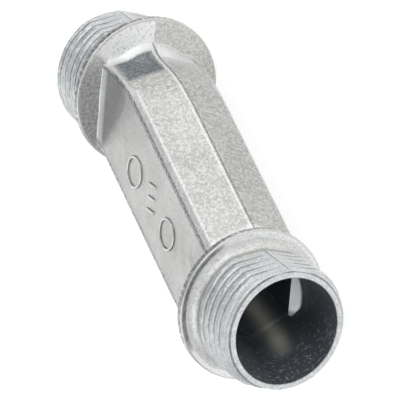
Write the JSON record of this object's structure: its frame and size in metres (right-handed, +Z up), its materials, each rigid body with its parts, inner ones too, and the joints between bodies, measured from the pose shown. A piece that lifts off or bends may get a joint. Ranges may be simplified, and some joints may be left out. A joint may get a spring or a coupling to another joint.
{
  "type": "offset conduit nipple",
  "caption": "Hollow die-cast pipe fitting: a short male-threaded hub and round flange at each end, on parallel axes joined by a slanted body.",
  "frame": {"origin": "under the middle of the fitting, on the surface that the rims of its two flanges rest on", "axes": "+Y along both thread axes, +X across them in the plane of the offset, +Z up through the side face with the raised marks"},
  "size_m": [0.0458, 0.0672, 0.0248],
  "materials": {
    "zinc_casting": "as-cast zinc alloy, satin with a fine mottle",
    "zinc_thread": "as-cast zinc alloy thread, slightly rough and darker in the grooves",
    "zinc_mark": "as-cast zinc alloy, raised"
  },
  "bodies": {
    "root": {"near_hub": "zinc_thread", "near_flange": "zinc_casting", "near_elbow": "zinc_casting", "offset_body": "zinc_casting", "far_elbow": "zinc_casting", "far_flange": "zinc_casting", "far_hub": "zinc_thread", "ring_mark_near": "zinc_mark", "ring_mark_far": "zinc_mark", "bar_mark_1": "zinc_mark", "bar_mark_2": "zinc_mark", "bar_mark_3": "zinc_mark"}
  },
  "joints": []
}
